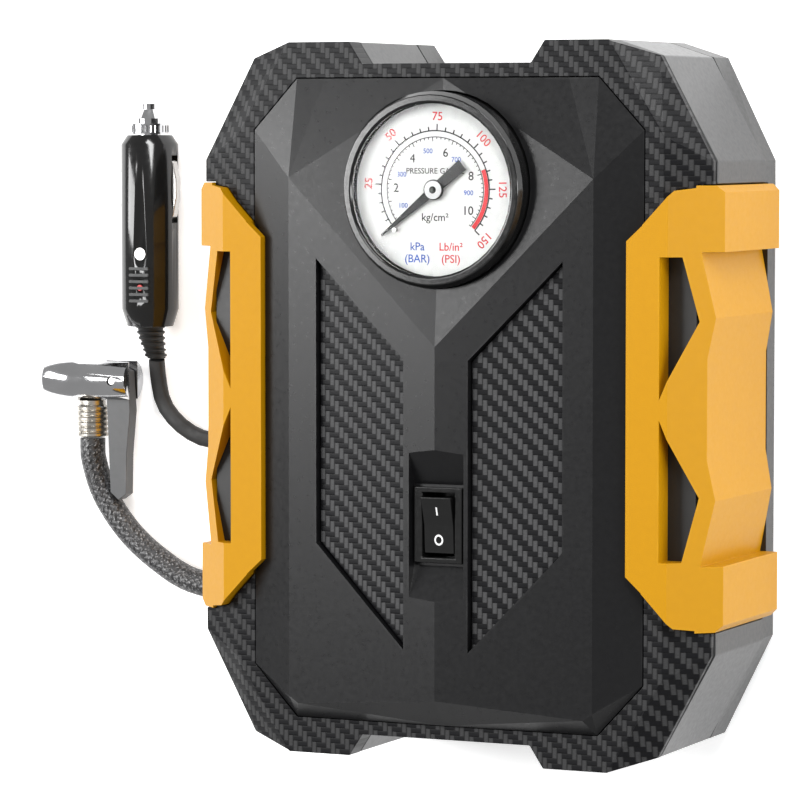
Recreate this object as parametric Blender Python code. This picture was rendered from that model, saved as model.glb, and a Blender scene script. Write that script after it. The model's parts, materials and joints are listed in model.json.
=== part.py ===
"""Portable tyre inflator, lying on its back.

Metres, +Z up. +Z leaves the front face, +Y points to the gauge end, the origin is
on the back plane at the middle of the casing. Helper functions take millimetres.
"""
import math

import bmesh
import bpy
from mathutils import Matrix, Vector

MM = 0.001
GAP = 0.3

# Driving dimensions, millimetres
FRONT = 70.0             # front plane of the frame above the back plane
HALF_W = 84.1            # casing half width
HALF_H = 109.0           # casing half height
SIDE_TOP = 73.0          # where the straight sides end
WALL = 2.5
SPLIT_BACK = 20.0        # joint between back cover and rear shell
SPLIT_FRONT = 62.4       # joint between rear shell and front frame
RIDGE = 77.9             # front cover along its middle ridge
SHOULDER = 75.2          # front cover at the side bevels
GAUGE_Y = 64.4
BEZEL_R = 29.5
DIAL_R = 25.9
DIAL_Z = 77.4
GRIP_X = 86.5            # outermost face of the side grips
GRIP_EDGE = 62.3         # height of the edge between a grip's sloping front and its side
GRIP_HALF = 66.0
NOTCH_HALF = 46.4
GRIP_BACK = 14.5
GRIP_INNER = 60.0        # where a grip's front lies on the cover's bevel
GRIP_TOP = FRONT + 4.2
POCKET_X = 79.4          # casing side behind a grip
WELL_R = 62.0
WELL_H = 18.0
SWITCH_Y = -36.5
MOTOR_X = -30.0
GEAR_X = -5.7
DRIVE_Z = 41.0
CRANK_R = 4.0
ROD_Y = -2.0
CHUCK_Z = 8.0
CHUCK_L = -171.0
CHUCK_R = -140.0
PIN_X = -144.9
HOSE_X = -155.3
HOSE_R = 4.2
HOSE_LOOP = 57.0
PLUG_X = -132.4
PLUG_Z = 10.2
CORD_R = 2.5
COIL_IN, COIL_OUT, COIL_H = 29.5, 50.5, 16.0

YELLOW = ("yellow", (0.80, 0.38, 0.02, 1), 0.45, 0.0)
BLACK = ("black", (0.02, 0.02, 0.02, 1), 0.5, 0.0)
GREY = ("graphite", (0.08, 0.08, 0.085, 1), 0.55, 0.0)
CARBON = ("carbon", (0.03, 0.03, 0.032, 1), 0.35, 0.0)
STEEL = ("steel", (0.6, 0.6, 0.6, 1), 0.3, 1.0)
CHROME = ("chrome", (0.85, 0.85, 0.85, 1), 0.08, 1.0)
BRASS = ("brass", (0.75, 0.55, 0.25, 1), 0.3, 1.0)
WHITE = ("white", (0.85, 0.85, 0.83, 1), 0.5, 0.0)
CLEAR = ("clear", (0.9, 0.95, 0.95, 1), 0.05, 0.0)
RUBBER = ("rubber", (0.015, 0.015, 0.015, 1), 0.8, 0.0)
RED = ("red", (0.5, 0.02, 0.02, 1), 0.4, 0.0)


# ---------------------------------------------------------------- tools
def paint(data, name, look):
    """Give a mesh or a curve its own material."""
    label, colour, rough, metal = look
    mat = bpy.data.materials.new(name + "_" + label)
    mat.use_nodes = True
    shader = mat.node_tree.nodes["Principled BSDF"]
    shader.inputs["Base Color"].default_value = colour
    shader.inputs["Roughness"].default_value = rough
    shader.inputs["Metallic"].default_value = metal
    data.materials.append(mat)


def finish(name, bm, look, pivot=(0, 0, 0), smooth=None):
    """Turn a bmesh in millimetres into a named object whose origin is the pivot."""
    bmesh.ops.remove_doubles(bm, verts=bm.verts, dist=0.0005)
    bmesh.ops.recalc_face_normals(bm, faces=bm.faces)
    origin = Vector(pivot)
    for vert in bm.verts:
        vert.co = (vert.co - origin) * MM
    mesh = bpy.data.meshes.new(name)
    bm.to_mesh(mesh)
    bm.free()
    obj = bpy.data.objects.new(name, mesh)
    bpy.context.scene.collection.objects.link(obj)
    obj.location = origin * MM
    if smooth:
        mesh.shade_smooth()
        mesh.set_sharp_from_angle(angle=math.radians(smooth))
    paint(mesh, name, look)
    return obj


def add_loft(bm, rings):
    """Skin closed rings of equal length and cap both ends."""
    rows = [[bm.verts.new(p) for p in ring] for ring in rings]
    count = len(rows[0])
    for low, high in zip(rows, rows[1:]):
        for i in range(count):
            j = (i + 1) % count
            bm.faces.new((low[i], low[j], high[j], high[i]))
    bm.faces.new(rows[0][::-1])
    bm.faces.new(rows[-1])
    return bm


def prism(outline, low, high):
    """Extrude an XY outline between two heights, each a number or a function of x."""
    low_at = low if callable(low) else (lambda x: low)
    high_at = high if callable(high) else (lambda x: high)
    return add_loft(bmesh.new(), [[(x, y, low_at(x)) for x, y in outline],
                                  [(x, y, high_at(x)) for x, y in outline]])


def box(x0, x1, y0, y1, z0, z1):
    return prism([(x0, y0), (x1, y0), (x1, y1), (x0, y1)], z0, z1)


def along_y(outline, low, high):
    return add_loft(bmesh.new(), [[(x, low, z) for x, z in outline],
                                  [(x, high, z) for x, z in outline]])


def lathe(profile, centre, axis="Z", steps=32):
    """Turn a closed (radius, height) profile round an axis through centre."""
    bm = bmesh.new()
    verts = [bm.verts.new((r, 0, h)) for r, h in profile]
    solid_core = min(r for r, h in profile) < 1e-6
    pairs = list(zip(verts, verts[1:] + verts[:1]))
    edges = [bm.edges.new(p) for p in pairs
             if not (solid_core and p[0].co.x < 1e-6 and p[1].co.x < 1e-6)]
    bmesh.ops.spin(bm, geom=verts + edges, cent=(0, 0, 0), axis=(0, 0, 1),
                   angle=math.tau, steps=steps, use_merge=False)
    bmesh.ops.remove_doubles(bm, verts=bm.verts, dist=0.001)
    turn = {"Z": Matrix(), "X": Matrix.Rotation(math.pi / 2, 4, "Y"),
            "Y": Matrix.Rotation(-math.pi / 2, 4, "X")}[axis]
    bmesh.ops.transform(bm, matrix=Matrix.Translation(centre) @ turn, verts=bm.verts)
    return bm


def rod(radius, centre, low, high, axis="Z", steps=24):
    return lathe([(0, low), (radius, low), (radius, high), (0, high)], centre, axis, steps)


def ring(inner, outer, centre, low, high, axis="Z", steps=32):
    return lathe([(inner, low), (outer, low), (outer, high), (inner, high)],
                 centre, axis, steps)


def boolean(bm, others, operation):
    """Apply exact booleans to a bmesh in millimetres and return the result."""
    made = [finish("work", bm, BLACK)]
    for other in others:
        tool = finish("tool", other, BLACK)
        made.append(tool)
        mod = made[0].modifiers.new("cut", "BOOLEAN")
        mod.operation = operation
        mod.object = tool
        mod.solver = "EXACT"
    graph = bpy.context.evaluated_depsgraph_get()
    result = bmesh.new()
    result.from_mesh(made[0].evaluated_get(graph).to_mesh())
    for vert in result.verts:
        vert.co /= MM
    for obj in made:
        bpy.data.objects.remove(obj, do_unlink=True)
    return result


def cut(bm, *tools):
    return boolean(bm, tools, "DIFFERENCE")


def join(bm, *tools):
    return boolean(bm, tools, "UNION")


def mirror_x(outline):
    return [(-x, y) for x, y in outline][::-1]


def smooth_route(points, step):
    """Even points along a smooth curve through the given ones."""
    pts = [Vector(p) for p in points]
    pts = [2 * pts[0] - pts[1]] + pts + [2 * pts[-1] - pts[-2]]
    fine = []
    for a, b, c, d in zip(pts, pts[1:], pts[2:], pts[3:]):
        for i in range(20):
            t = i / 20
            fine.append(0.5 * (2 * b + (c - a) * t + (2 * a - 5 * b + 4 * c - d) * t * t
                               + (3 * b - a - 3 * c + d) * t ** 3))
    fine.append(pts[-2])
    total = sum((b - a).length for a, b in zip(fine, fine[1:]))
    count = max(2, round(total / step))
    even, walked, target = [fine[0]], 0.0, total / count
    for a, b in zip(fine, fine[1:]):
        span = (b - a).length
        while walked + span >= target * len(even) and len(even) < count:
            even.append(a.lerp(b, (target * len(even) - walked) / span))
        walked += span
    return even + [fine[-1]]


def tube(name, points, radius, look, resolution):
    """A round cord or hose along a smooth route."""
    curve = bpy.data.curves.new(name, "CURVE")
    curve.dimensions = "3D"
    curve.bevel_depth = radius * MM
    curve.bevel_resolution = resolution
    curve.use_fill_caps = True
    curve.render_resolution_u = 0
    route = smooth_route(points, radius * 4.6)
    spline = curve.splines.new("POLY")
    spline.points.add(len(route) - 1)
    for point, co in zip(spline.points, route):
        point.co = (co.x * MM, co.y * MM, co.z * MM, 1)
    obj = bpy.data.objects.new(name, curve)
    bpy.context.scene.collection.objects.link(obj)
    paint(curve, name, look)
    return obj


# ---------------------------------------------------------------- outlines
def casing(inset=0.0, slim=0.0):
    """The casing's outline: straight sides, diagonal shoulders, a notch at each end."""
    k = inset
    corner = [(27.7 + k, 102.3 - k), (32.1 + k, HALF_H - k), (52.5, HALF_H - k),
              (66.9 - 0.6 * k, 104.3 - 0.9 * k), (HALF_W - slim - k, SIDE_TOP - 0.3 * k)]
    top = corner + [(x, -y) for x, y in corner[::-1]]
    return top + [(-x, -y) for x, y in top]


def cover_outline(grow=0.0):
    side, end = 64.0 + grow, 97.8 + grow
    corner = [(49.6 + 0.4 * grow, end), (side, 82.2 + 0.4 * grow)]
    right = corner + [(x, -y) for x, y in corner[::-1]]
    return right + [(-x, -y) for x, y in right]


def main_plane(x):
    """Height of the two main planes of the front cover, highest on the ridge."""
    return RIDGE - (RIDGE - SHOULDER) * abs(x) / 50.0


INSET = [(10.6, -74.5), (40.5, -43.4), (40.5, 43.4), (10.6, 13.4)]


def scallop():
    """Outer edge of a grip between its two blocks, from bottom to top."""
    low, mid, high = GRIP_X - 5.6, GRIP_X - 4.0, GRIP_X - 2.0
    return [(low, -NOTCH_HALF), (high, -27), (mid, -15), (mid, 15), (high, 27),
            (low, NOTCH_HALF)]


# ---------------------------------------------------------------- casing
def build_back_cover():
    rings = [[(x, y, 0) for x, y in casing(6.5)],
             [(x, y, 6.6) for x, y in casing(0, 1.7)],
             [(x, y, SPLIT_BACK - GAP) for x, y in casing(0, 1.2)]]
    outer = add_loft(bmesh.new(), rings)
    posts = [rod(4.4, (x, y, 0), -5, 60, steps=16) for x, y in SCREWS]
    cup = rod(WELL_R + WALL, (0, 0, 0), -5, 60, steps=48)
    hose_box = prism([(-95, -81.5), (10, -81.5), (10, -49), (-46, -37), (-95, -57.5)], -5, 60)
    cord_box = prism([(-95, -33.5), (-45, -38.5), (-45, -15.5), (-95, -11.5)], -5, 60)
    hollow = cut(prism(casing(9.5), WALL, 40), cup, hose_box, cord_box, *posts)
    bay = rod(WELL_R, (0, 0, 0), -5, WELL_H, steps=48)
    hose_way = prism([(-95, -79), (8, -79), (8, -52), (-46, -40), (-95, -60)], -5, 13)
    cord_way = prism([(-95, -31), (-45, -36), (-45, -18), (-95, -14)], -5, 11)
    holes = [rod(3.2, (x, y, 0), -1, 6, steps=16) for x, y in SCREWS]
    body = cut(outer, hollow, bay, hose_way, cord_way, *grip_pockets(), *holes)
    finish("back_cover", body, BLACK)


SCREWS = [(-64, 84), (64, 84), (64, -84), (-40, -93)]


def grip_pockets():
    """Room in the casing's sides for both grips."""
    side, low = GRIP_HALF + GAP, GRIP_BACK - GAP
    return [box(POCKET_X, 95, -side, side, low, 90), box(-95, -POCKET_X, -side, side, low, 90)]


def build_screws():
    for number, (x, y) in enumerate(SCREWS, 1):
        head = rod(2.8, (x, y, 0), 3.0, 5.6, steps=16)
        cross = [box(x - 1.6, x + 1.6, y - 0.35, y + 0.35, 2, 4.2),
                 box(x - 0.35, x + 0.35, y - 1.6, y + 1.6, 2, 4.2)]
        finish("screw_%d" % number, cut(head, *cross), STEEL)


def build_rear_shell():
    outer = prism(casing(), SPLIT_BACK, SPLIT_FRONT - GAP)
    inner = [(27.7 + WALL, 99), (33, 106), (52, 106), (64, 101.4), (81, 70), (81, 69),
             (POCKET_X - WALL, 69)]
    right = inner + [(x, -y) for x, y in inner[::-1]]
    cavity = prism(right + [(-x, -y) for x, y in right], SPLIT_BACK - 5, SPLIT_FRONT + 5)
    finish("rear_shell", cut(outer, cavity, *grip_pockets()), GREY)


def grip_cutter(grow):
    """Room for one grip's front plate in the frame."""
    g = grow
    return [(GRIP_INNER - g, -49.6), (74.5 - g, -64.5 - g), (95, -66 - g), (95, 66 + g),
            (74.5 - g, 64.5 + g), (GRIP_INNER - g, 49.6)]


def build_front_frame():
    flat = [(x, y, FRONT) for x, y in casing(0, 0)]
    inner = []
    for x, y, z in flat:
        sx, sy = math.copysign(1, x), math.copysign(1, y)
        if abs(x) > 60:
            x, y = (70.1 * sx, 80.5 * sy) if abs(x) > 80 else (52.9 * sx, 108.6 * sy)
        inner.append((x, y, z))
    rings = [[(x, y, SPLIT_FRONT) for x, y in casing(0, 0.4)],
             [(x, y, FRONT - 5.5) for x, y in casing(0, 0.4)], inner]
    outer = add_loft(bmesh.new(), rings)
    hole = prism(cover_outline(GAP), 50, 90)
    right = prism(grip_cutter(GAP), FRONT - 4.4, 90)
    left = prism(mirror_x(grip_cutter(GAP)), FRONT - 4.4, 90)
    finish("front_frame", cut(outer, hole, right, left, *grip_pockets()), BLACK)


def build_grip(sign, name):
    """C-shaped side guard with a scalloped bar across its notch."""
    front = [(65.0, -54.4), (74.5, -64.5), (GRIP_X - 2, -GRIP_HALF), (GRIP_X, -GRIP_HALF + 2),
             (GRIP_X, -NOTCH_HALF)] + scallop() + [
             (GRIP_X, NOTCH_HALF), (GRIP_X, GRIP_HALF - 2), (GRIP_X - 2, GRIP_HALF),
             (74.5, 64.5), (65.0, 54.4)]
    lip = [(GRIP_INNER, -49.6), (65.0, -54.2), (68.0, -54.2), (68.0, 54.2), (65.0, 54.2),
           (GRIP_INNER, 49.6)]
    side_x = POCKET_X + GAP
    side = [(side_x, -GRIP_HALF), (GRIP_X - 2, -GRIP_HALF), (GRIP_X, -GRIP_HALF + 2),
            (GRIP_X, -NOTCH_HALF)] + scallop() + [(GRIP_X, NOTCH_HALF),
            (GRIP_X, GRIP_HALF - 2), (GRIP_X - 2, GRIP_HALF), (side_x, GRIP_HALF)]
    windows = [[(70.5, 3), (80.6, 26), (76.5, 45), (70.5, 45)]]
    slope = [(72.5, 74.6), (GRIP_X + 10, GRIP_EDGE - 8.8), (GRIP_X + 10, 95), (72.5, 95)]
    windows.append([(x, -y) for x, y in windows[0]][::-1])
    if sign < 0:
        front, side, lip = mirror_x(front), mirror_x(side), mirror_x(lip)
        windows = [mirror_x(w) for w in windows]
        slope = mirror_x(slope)
    plate = prism(front, FRONT - 3.6, GRIP_TOP)
    body = join(plate, prism(side, GRIP_BACK, FRONT - 1), prism(lip, FRONT + 0.9, GRIP_TOP))
    body = cut(body, along_y(slope, -90, 90), *[prism(w, FRONT - 8, 95) for w in windows])
    finish(name, body, YELLOW)


def build_front_cover():
    """A shallow roof with a middle ridge, a V crease and bevelled edges."""
    bm = bmesh.new()
    rim = cover_outline()
    end = 97.8
    spots = {"ridge_top": (0, end, 71.6), "ridge_low": (0, -end, 70.9),
             "apex": (0, 17.3, RIDGE), "foot": (0, -89.5, RIDGE)}
    for tag, s in (("r", 1), ("l", -1)):
        spots[tag + "top"] = (s * 40, end, FRONT)
        spots[tag + "end"] = (s * 49.6, end, FRONT)
        spots[tag + "high"] = (s * 64, 82.2, FRONT)
        spots[tag + "low"] = (s * 64, -82.2, FRONT)
        spots[tag + "bottom"] = (s * 49.6, -end, FRONT)
        spots[tag + "vee"] = (s * 50, 67.8, SHOULDER)
        spots[tag + "foot"] = (s * 50, -91.0, SHOULDER)
        spots[tag + "toe"] = (s * 47, -93.0, main_plane(47))
        for place in ("top", "end", "high", "low", "bottom"):
            x, y, _ = spots[tag + place]
            spots[tag + place + "_b"] = (x, y, SPLIT_FRONT + 3)
    spots["ridge_top_b"] = (0, end, SPLIT_FRONT + 3)
    spots["ridge_low_b"] = (0, -end, SPLIT_FRONT + 3)
    v = {key: bm.verts.new(co) for key, co in spots.items()}
    for t in ("r", "l"):
        faces = [(t + "vee", "apex", "foot", t + "toe", t + "foot"),
                 (t + "vee", t + "top", "ridge_top"), (t + "vee", "ridge_top", "apex"),
                 (t + "vee", t + "high", t + "end"), (t + "vee", t + "end", t + "top"),
                 (t + "vee", t + "foot", t + "low", t + "high"),
                 (t + "foot", t + "toe", t + "bottom"), (t + "foot", t + "bottom", t + "low"),
                 (t + "toe", "foot", "ridge_low"), (t + "toe", "ridge_low", t + "bottom")]
        walk = ["ridge_top", t + "top", t + "end", t + "high", t + "low", t + "bottom",
                "ridge_low"]
        for a, b in zip(walk, walk[1:]):
            faces.append((a, b, b + "_b", a + "_b"))
        for face in faces:
            bm.faces.new([v[key] for key in face])
    base = ["ridge_top", "rtop", "rend", "rhigh", "rlow", "rbottom", "ridge_low",
            "lbottom", "llow", "lhigh", "lend", "ltop"]
    bm.faces.new([v[key + "_b"] for key in base])
    bmesh.ops.recalc_face_normals(bm, faces=bm.faces)
    hollow = prism([(x * 0.95, y * 0.97) for x, y in rim], 50, FRONT - 1.8)
    gauge_hole = rod(BEZEL_R + GAP, (0, GAUGE_Y, 0), 50, 95, steps=48)
    inset_cut = [prism(o, lambda x: main_plane(x) - 4.4, 90) for o in (INSET, mirror_x(INSET))]
    dish = add_loft(bmesh.new(), [[(x, y, z) for y, z in DISH] for x in (-8.7, 9.3)])
    socket = box(-6.9, 6.9, SWITCH_Y - 10.5, SWITCH_Y + 10.5, 50, 90)
    ledges = [prism(o, FRONT + 0.6, 90) for o in (grip_cutter(GAP), mirror_x(grip_cutter(GAP)))]
    finish("front_cover", cut(bm, *ledges, hollow, gauge_hole, dish, socket, *inset_cut), GREY)
    for name, outline in (("inset_right", INSET), ("inset_left", mirror_x(INSET))):
        cx = sum(x for x, y in outline) / 4
        cy = sum(y for x, y in outline) / 4
        inner = [(cx + (x - cx) * 0.975, cy + (y - cy) * 0.99) for x, y in outline]
        finish(name, prism(inner, lambda x: main_plane(x) - 4.1,
                           lambda x: main_plane(x) - 2.3), CARBON)


DISH = [(-12, 78.6), (-24.3, 73.2), (-48.9, 73.2), (-61, 78.6), (-61, 90), (-12, 90)]


# ---------------------------------------------------------------- gauge and switch
def build_gauge():
    at = (0, GAUGE_Y, 0)
    bezel = [(26.3, 66), (29.2, 66), (29.5, 79.6), (28.4, 81.6), (26.4, 81.6), (25.7, 80.9),
             (26.3, 80.7)]
    finish("gauge_bezel", lathe(bezel, at, steps=48), BLACK, smooth=30)
    finish("gauge_lens", rod(26.0, at, 79.7, 80.4, steps=48), CLEAR, smooth=30)
    finish("gauge_dial", cut(rod(DIAL_R, at, DIAL_Z - 0.7, DIAL_Z, steps=48),
                             rod(1.3, at, 60, 95, steps=12)), WHITE, smooth=30)
    case = [(0, 52), (24, 52), (26, 54), (26, 76.3), (24.5, 76.3), (24.5, 54), (0, 54)]
    finish("gauge_case", cut(lathe(case, at, steps=32),
                             rod(4.3, (0, GAUGE_Y, 0), 45, 58, steps=16)), STEEL, smooth=30)
    finish("gauge_stem", rod(4.0, at, 44, 60, steps=16), BRASS, smooth=30)
    angle = math.radians(218.7)
    tip = Vector((math.cos(angle), math.sin(angle)))
    across = Vector((-tip.y, tip.x))
    hub = Vector((0, GAUGE_Y))
    needle = [hub + tip * 22 + across * 0.3, hub + tip * 2 + across * 1.4,
              hub - tip * 12 + across * 1.9, hub - tip * 12 - across * 1.9,
              hub + tip * 2 - across * 1.4, hub + tip * 22 - across * 0.3]
    pointer = join(prism([tuple(p) for p in needle], 78.3, 78.7), rod(1.0, at, 75, 79, steps=12),
                   rod(3.1, at, 78.1, 79.1, steps=20))
    finish("gauge_pointer", pointer, BLACK, pivot=(0, GAUGE_Y, 78.5))
    stop = rod(0.7, (-12.8, GAUGE_Y - 12.0, 0), DIAL_Z + GAP, 79.2, steps=10)
    finish("gauge_stop_pin", stop, STEEL)


def build_switch():
    bezel = join(box(-7.9, 7.9, SWITCH_Y - 11.5, SWITCH_Y + 11.5, 73.5, 75.2),
                 box(-6.5, 6.5, SWITCH_Y - 10.3, SWITCH_Y + 10.3, 58, 74))
    well = box(-5.3, 5.3, SWITCH_Y - 9.8, SWITCH_Y + 9.8, 66, 90)
    finish("switch_body", cut(bezel, well), BLACK)
    side = [(SWITCH_Y - 8.6, 74.4), (SWITCH_Y, 74.9), (SWITCH_Y + 8.6, 77.5),
            (SWITCH_Y + 8.6, 75.6), (SWITCH_Y + 4, 70.6), (SWITCH_Y - 4, 70.0),
            (SWITCH_Y - 8.6, 71.6)]
    rocker = add_loft(bmesh.new(), [[(x, y, z) for y, z in side] for x in (-4.9, 4.9)])
    finish("switch_rocker", rocker, BLACK, pivot=(0, SWITCH_Y, 73.0))
    for number, y in enumerate((SWITCH_Y - 5, SWITCH_Y + 5), 1):
        finish("switch_terminal_%d" % number, box(-3, 3, y - 0.4, y + 0.4, 50, 57.7), BRASS)


# ---------------------------------------------------------------- pump
def gear_outline(teeth, module, centre):
    """Straight-flanked teeth, slightly thin for backlash."""
    pitch = teeth * module / 2
    shape = []
    for tooth in range(teeth):
        mid = math.tau * tooth / teeth
        for part, radius in ((-0.25, pitch - 1.2 * module), (-0.12, pitch + 0.8 * module),
                             (0.12, pitch + 0.8 * module), (0.25, pitch - 1.2 * module)):
            a = mid + part * math.tau / teeth
            shape.append((centre[0] + radius * math.cos(a), centre[1] + radius * math.sin(a)))
    return shape


def build_pump():
    can = lathe([(0, -74), (16, -74), (16, -17), (3.4, -17), (3.4, -40), (0, -40)],
                (MOTOR_X, 0, DRIVE_Z), "Y", 32)
    finish("motor_can", can, STEEL, smooth=30)
    module = 0.8
    pinion = along_y(gear_outline(10, module, (MOTOR_X, DRIVE_Z)), -12, -6)
    shaft = rod(1.6, (MOTOR_X, 0, DRIVE_Z), -36, -5, "Y", 12)
    finish("motor_pinion", join(pinion, shaft), STEEL, pivot=(MOTOR_X, -9, DRIVE_Z))
    gear = along_y(gear_outline(49, module, (GEAR_X, DRIVE_Z)), -11.7, -6.3)
    pin = rod(2.4, (GEAR_X, 0, DRIVE_Z + CRANK_R), -8, 3, "Y", 16)
    axle = rod(2.4, (GEAR_X, 0, DRIVE_Z), -20, -8, "Y", 16)
    finish("drive_gear", join(gear, pin, axle), STEEL, pivot=(GEAR_X, -9, DRIVE_Z))
    z = DRIVE_Z + CRANK_R
    link = join(rod(5.0, (GEAR_X, 0, z), ROD_Y - 2, ROD_Y + 2, "Y", 20),
                box(GEAR_X + 3, 30, ROD_Y - 1.8, ROD_Y + 1.8, z - 2.4, z + 2.4),
                rod(8.0, (0, ROD_Y, z), 29, 38, "X", 24))
    link = cut(link, rod(2.8, (GEAR_X, 0, z), -8, 8, "Y", 16))
    finish("piston_rod", link, STEEL, pivot=(GEAR_X, ROD_Y, z))
    barrel = join(rod(15, (0, ROD_Y, DRIVE_Z), 23, 49, "X", 32),
                  box(40, 49, ROD_Y - 15, ROD_Y + 15, SPLIT_BACK + GAP, 57))
    finish("cylinder", cut(barrel, rod(12.5, (0, ROD_Y, DRIVE_Z), 20, 55, "X", 32)), STEEL)
    head = join(box(49.3, 56, ROD_Y - 15, ROD_Y + 15, 26, 56),
                rod(3.6, (53, 0, DRIVE_Z), 10, 26, "Y", 16))
    finish("cylinder_head", head, STEEL)
    plate = cut(box(-50, 21, -16.6, -13.6, SPLIT_BACK + GAP, 60),
                rod(3.6, (MOTOR_X, 0, DRIVE_Z), -30, 0, "Y", 16),
                rod(2.7, (GEAR_X, 0, DRIVE_Z), -30, 0, "Y", 16))
    finish("gearbox_plate", plate, STEEL)


# ---------------------------------------------------------------- hose and chuck
def hose_route():
    loop = []
    for degrees in range(180, -96, -15):
        a = math.radians(degrees)
        loop.append((HOSE_LOOP * math.cos(a), HOSE_LOOP * math.sin(a), HOSE_R + 0.5))
    start = [(-HOSE_LOOP, -3.6, HOSE_R + 0.5)]
    out = [(-22, -60.5, 4.6), (-45, -64.5, 4.5), (-70, -67.5, 4.5), (-95, -68.5, 4.5),
           (-118.6, -65.9, 4.5), (-132.3, -59.3, 4.5), (-143.8, -50, 4.7),
           (-152.2, -38, 5.6), (-155.1, -27, 7.5), (HOSE_X, -22.5, CHUCK_Z), (HOSE_X, -19.4, CHUCK_Z)]
    return start + loop + out


def cord_route():
    return [(-47.2, -22.6, 5.4), (-52, -24.3, 5.0), (-66, -25.2, 3.4), (-84, -23.2, 2.7),
            (-100, -20.8, 2.7), (-112.6, -19.4, 2.7), (-119.5, -17.9, 2.7),
            (-126.5, -13.6, 2.7), (-131.6, -7.4, 2.7), (-133.2, 0.5, 3.2), (-133.0, 6.3, 4.7)]


def build_hose():
    tube("air_hose", hose_route(), HOSE_R, BLACK, 3)
    ferrule = [(0, -18.1), (5.2, -18.1), (5.2, -7.9), (0, -7.9)]
    finish("hose_ferrule", lathe(ferrule, (HOSE_X, 0, CHUCK_Z), "Y", 24), STEEL, smooth=30)
    gland = join(box(-60.2, -52.8, -13, -4.6, 0.8, 12), box(-59, -55, -12, -6, 11, WELL_H - GAP))
    finish("hose_gland", gland, BLACK)


def build_chuck():
    profile = [(0, CHUCK_L), (6.6, CHUCK_L), (7.6, CHUCK_L + 1), (7.6, -160), (6.9, -158),
               (6.9, CHUCK_R), (0, CHUCK_R)]
    body = lathe(profile, (0, 0, CHUCK_Z), "X", 32)
    bore = rod(5.8, (0, 0, CHUCK_Z), CHUCK_L - 5, -160.5, "X", 24)
    slot = box(-151, -130, -12, 12, CHUCK_Z - 2.9, CHUCK_Z + 2.9)
    pin_hole = rod(1.5, (PIN_X, 0, 0), -5, 30, steps=12)
    finish("chuck_body", cut(body, bore, slot, pin_hole), CHROME, smooth=30)
    seal = ring(2.6, 5.5, (0, 0, CHUCK_Z), -165, -160.8, "X", 20)
    finish("chuck_seal", seal, RUBBER, smooth=30)
    finish("chuck_pin", rod(1.2, (PIN_X, 0, 0), 2.0, 14.2, steps=12), STEEL)
    arm = prism([(-148.6, 3), (-148.6, -8), (-148, -24), (-147.4, -37), (-144.4, -39.5),
                 (-141.6, -37.5), (-141.3, -24), (-140.0, -10), (-140.9, 3), (-144.9, 5)],
                CHUCK_Z - 2.5, CHUCK_Z + 2.5)
    lever = cut(arm, rod(1.5, (PIN_X, 0, 0), -5, 30, steps=12))
    finish("chuck_lever", lever, GREY, pivot=(PIN_X, 0, CHUCK_Z))


# ---------------------------------------------------------------- power lead
def build_lead():
    tube("power_cord", cord_route(), CORD_R, BLACK, 2)
    finish("cord_coil", ring(COIL_IN, COIL_OUT, (0, 0, 0), 0.4, COIL_H, steps=32), BLACK,
           smooth=30)
    tube("cord_tail", [(28.9, 0, 8.2), (22, 0, 8.2), (15.5, 0, 8.2)], CORD_R, BLACK, 2)
    gland = join(rod(4.5, (0, 0, 8.2), 8, 15.2, "X", 16), rod(9, (0, 0, 0), 2, WELL_H - GAP))
    finish("cord_gland", gland, BLACK)


def build_plug():
    at = (PLUG_X, 0, PLUG_Z)
    body = [(0, 18.2), (7.6, 18.2), (9.4, 24), (9.4, 77.5), (7.4, 80.6), (5.6, 80.6),
            (5.6, 66), (0, 66)]
    shell = lathe(body, at, "Y", 28)
    slots = [box(x0, x1, 52, 74, PLUG_Z - 2, PLUG_Z + 2)
             for x0, x1 in ((PLUG_X - 12, PLUG_X - 6.3), (PLUG_X + 6.3, PLUG_X + 12))]
    screw_hole = rod(2.3, (PLUG_X + 1, 42, 0), PLUG_Z + 7, PLUG_Z + 15, steps=14)
    led_hole = rod(1.3, (PLUG_X + 1, 31, 0), PLUG_Z + 7, PLUG_Z + 15, steps=12)
    finish("plug_body", cut(shell, *slots, screw_hole, led_hole), BLACK, smooth=30)
    for number, s in enumerate((-1, 1), 1):
        outline = [(PLUG_X + s * x, y) for x, y in ((7.4, 53), (9.4, 54), (10.6, 60),
                                                    (10.6, 66), (9.4, 72), (7.4, 73))]
        outline = outline if s > 0 else outline[::-1]
        finish("plug_contact_%d" % number, prism(outline, PLUG_Z - 1.6, PLUG_Z + 1.6), STEEL)
    collar = ring(4.3, 6.4, at, 80.9, 84.3, "Y", 24)
    finish("plug_collar", collar, CHROME, smooth=30)
    tip = [(0, 70), (5.2, 70), (5.2, 72), (3.9, 72), (3.9, 86), (2.3, 89), (2.3, 90.8),
           (0, 90.8)]
    finish("plug_tip", lathe(tip, at, "Y", 20), CHROME, pivot=(PLUG_X, 80, PLUG_Z), smooth=30)
    screw = rod(2.0, (PLUG_X + 1, 42, 0), PLUG_Z + 7.3, PLUG_Z + 9.0, steps=14)
    finish("plug_screw", screw, STEEL)
    finish("plug_led", rod(1.0, (PLUG_X + 1, 31, 0), PLUG_Z + 7.3, PLUG_Z + 9.2, steps=12), RED)
    rings = []
    for share in (0.0, 0.5, 1.0):
        radius = 4.8 - 1.5 * share
        centre = Vector((PLUG_X - 0.6 * share, 17.9 - 10.6 * share, PLUG_Z - 5.4 * share ** 1.3))
        rings.append([(centre.x + radius * math.cos(math.tau * i / 16), centre.y,
                       centre.z + radius * math.sin(math.tau * i / 16)) for i in range(16)])
    finish("plug_boot", add_loft(bmesh.new(), rings), RUBBER, smooth=30)


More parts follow.
